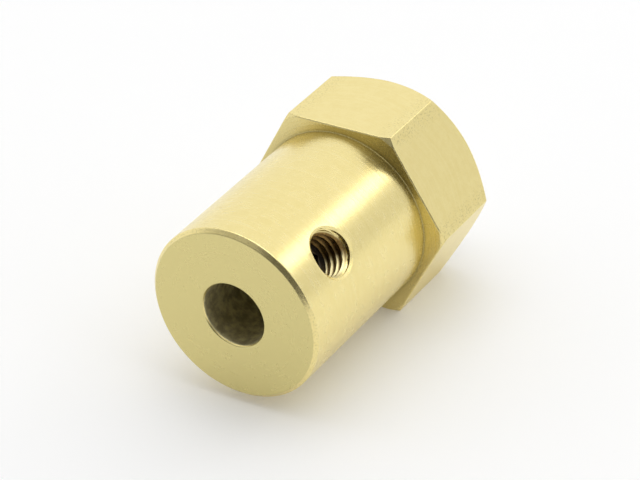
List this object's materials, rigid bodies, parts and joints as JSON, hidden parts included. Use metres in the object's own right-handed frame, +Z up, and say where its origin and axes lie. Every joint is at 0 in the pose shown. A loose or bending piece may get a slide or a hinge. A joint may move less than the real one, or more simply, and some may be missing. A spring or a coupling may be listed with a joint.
{
  "type": "rigid sleeve coupling",
  "caption": "Brass rigid sleeve coupling with a shaft bore, a radial set screw and a hexagon that drives a wheel held by a pan-head screw and washer.",
  "frame": {"origin": "middle of the lower flat of the hexagon, at half its 6 mm length", "axes": "+Z up from the flat that the coupling lies on; +Y along the shaft's axis from the sleeve end to the hexagon end, 6 mm above the origin; +X to the right, seen from the sleeve end"},
  "size_m": [0.0138, 0.0213, 0.012],
  "materials": {
    "brass": "satin turned and drawn brass",
    "black_steel": "black oxide, satin",
    "plated_steel": "zinc plated, satin"
  },
  "bodies": {
    "coupling": {"coupling_body": "brass"},
    "set_screw": {"set_screw": "black_steel"},
    "wheel_washer": {"wheel_washer": "plated_steel"},
    "wheel_screw": {"wheel_screw": "plated_steel"}
  },
  "joints": [
    {"name": "set_screw_travel", "type": "slide", "parent": "coupling", "child": "set_screw", "axis": [0.809, 0, 0.5878], "range_m": [-0.0005, 0.003]},
    {"name": "wheel_screw_travel", "type": "slide", "parent": "coupling", "child": "wheel_washer", "axis": [0, 1, 0], "range_m": [0, 0.0063]},
    {"name": "wheel_screw_turn", "type": "hinge", "parent": "wheel_washer", "child": "wheel_screw", "pos_m": [0, 0.003, 0.006], "axis": [0, 1, 0], "range_deg": [0, 3240]}
  ],
  "couplings": [
    {"joint": "wheel_screw_turn", "follows": "wheel_screw_travel", "rad_per_m": 8976}
  ]
}
